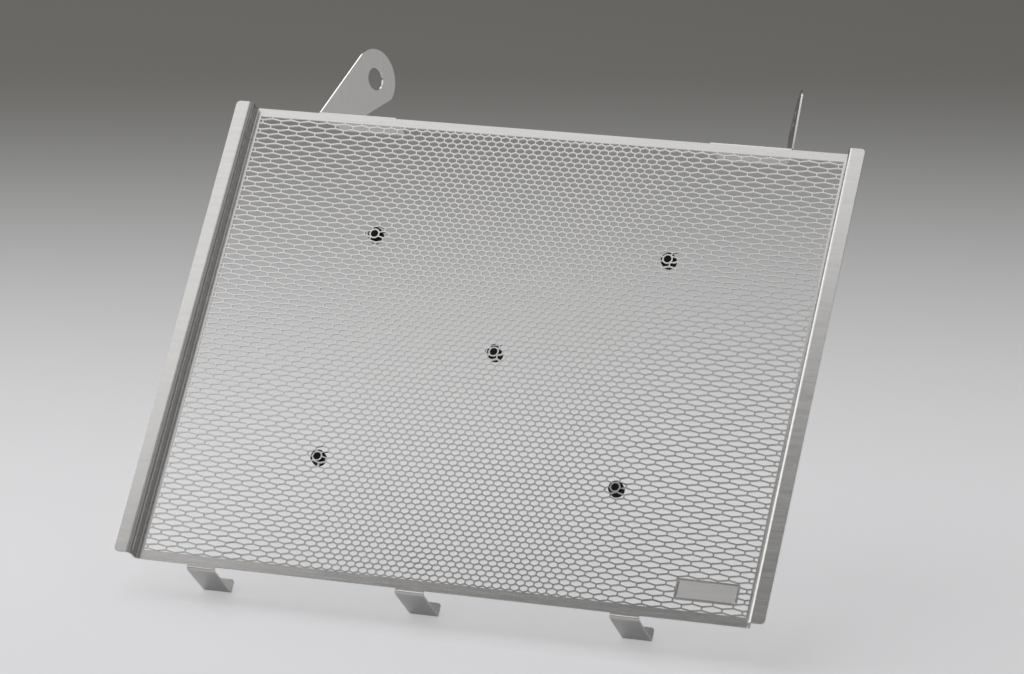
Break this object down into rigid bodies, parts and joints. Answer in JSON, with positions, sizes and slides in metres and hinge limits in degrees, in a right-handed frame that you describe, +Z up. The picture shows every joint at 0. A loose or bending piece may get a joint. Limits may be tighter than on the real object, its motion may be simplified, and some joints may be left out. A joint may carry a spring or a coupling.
{
  "type": "motorcycle radiator guard",
  "caption": "Steel radiator guard for a motorcycle: perforated zigzag sheet with folded side flanges, bored ears at the top, hooks below and rubber dampers.",
  "frame": {"origin": "middle of the rear face of the centre damper, on the front of the radiator core", "axes": "+X to the right along the guard's width, +Y rearwards to the radiator, +Z up along the panel"},
  "size_m": [0.364, 0.0584, 0.3366],
  "materials": {
    "sheet_steel": "satin brushed stainless sheet",
    "damper_rubber": "matt black moulded rubber"
  },
  "bodies": {
    "root": {"guard_panel": "sheet_steel", "damper_upper_left": "damper_rubber", "damper_upper_right": "damper_rubber", "damper_centre": "damper_rubber", "damper_lower_left": "damper_rubber", "damper_lower_right": "damper_rubber"}
  },
  "joints": []
}
